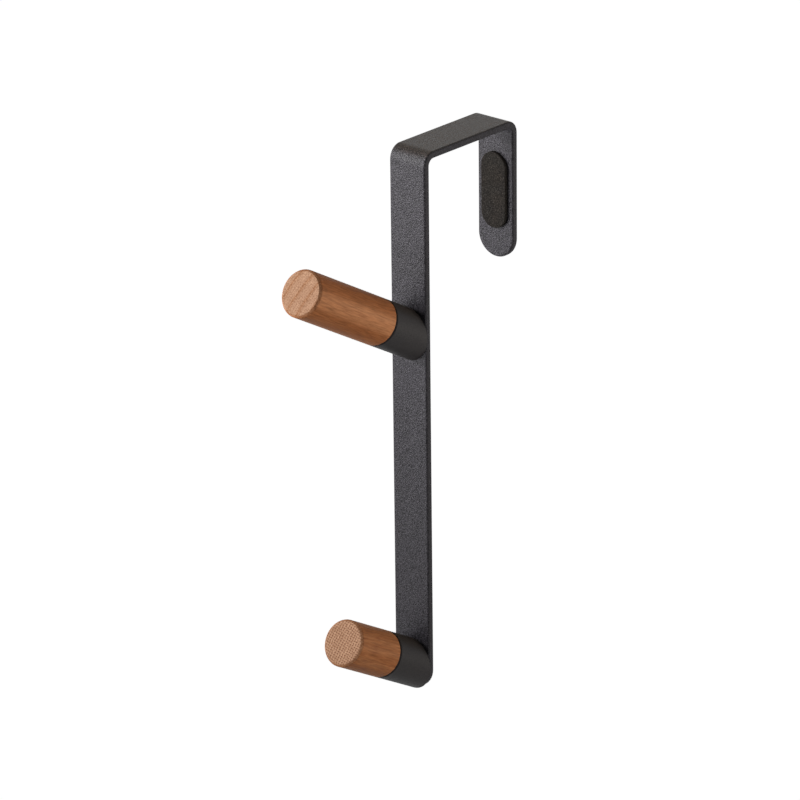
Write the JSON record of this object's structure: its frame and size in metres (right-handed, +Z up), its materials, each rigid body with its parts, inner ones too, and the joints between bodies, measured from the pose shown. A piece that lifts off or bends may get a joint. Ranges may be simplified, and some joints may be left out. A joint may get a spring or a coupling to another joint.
{
  "type": "over door hook",
  "caption": "Over-door hook: a folded dark steel strap hangs on a door's top edge and carries round hardwood pegs that rise from steel collars, with a soft pad behind.",
  "frame": {"origin": "middle of the bridge's underside, the face that rests on the top edge of the door", "axes": "+Z up, -Y out of the door into the room where the pegs point, +Y behind the door, +X along the door's width"},
  "size_m": [0.0192, 0.1223, 0.229],
  "materials": {
    "coated_steel": "matt, fine sand texture",
    "hardwood": "satin, oiled",
    "foam_pad": "matt, fine cell foam"
  },
  "bodies": {
    "root": {"hook_strap": "coated_steel", "upper_collar": "coated_steel", "lower_collar": "coated_steel", "upper_peg": "hardwood", "lower_peg": "hardwood", "tab_pad": "foam_pad", "strap_upper_pad": "foam_pad", "strap_lower_pad": "foam_pad"}
  },
  "joints": []
}
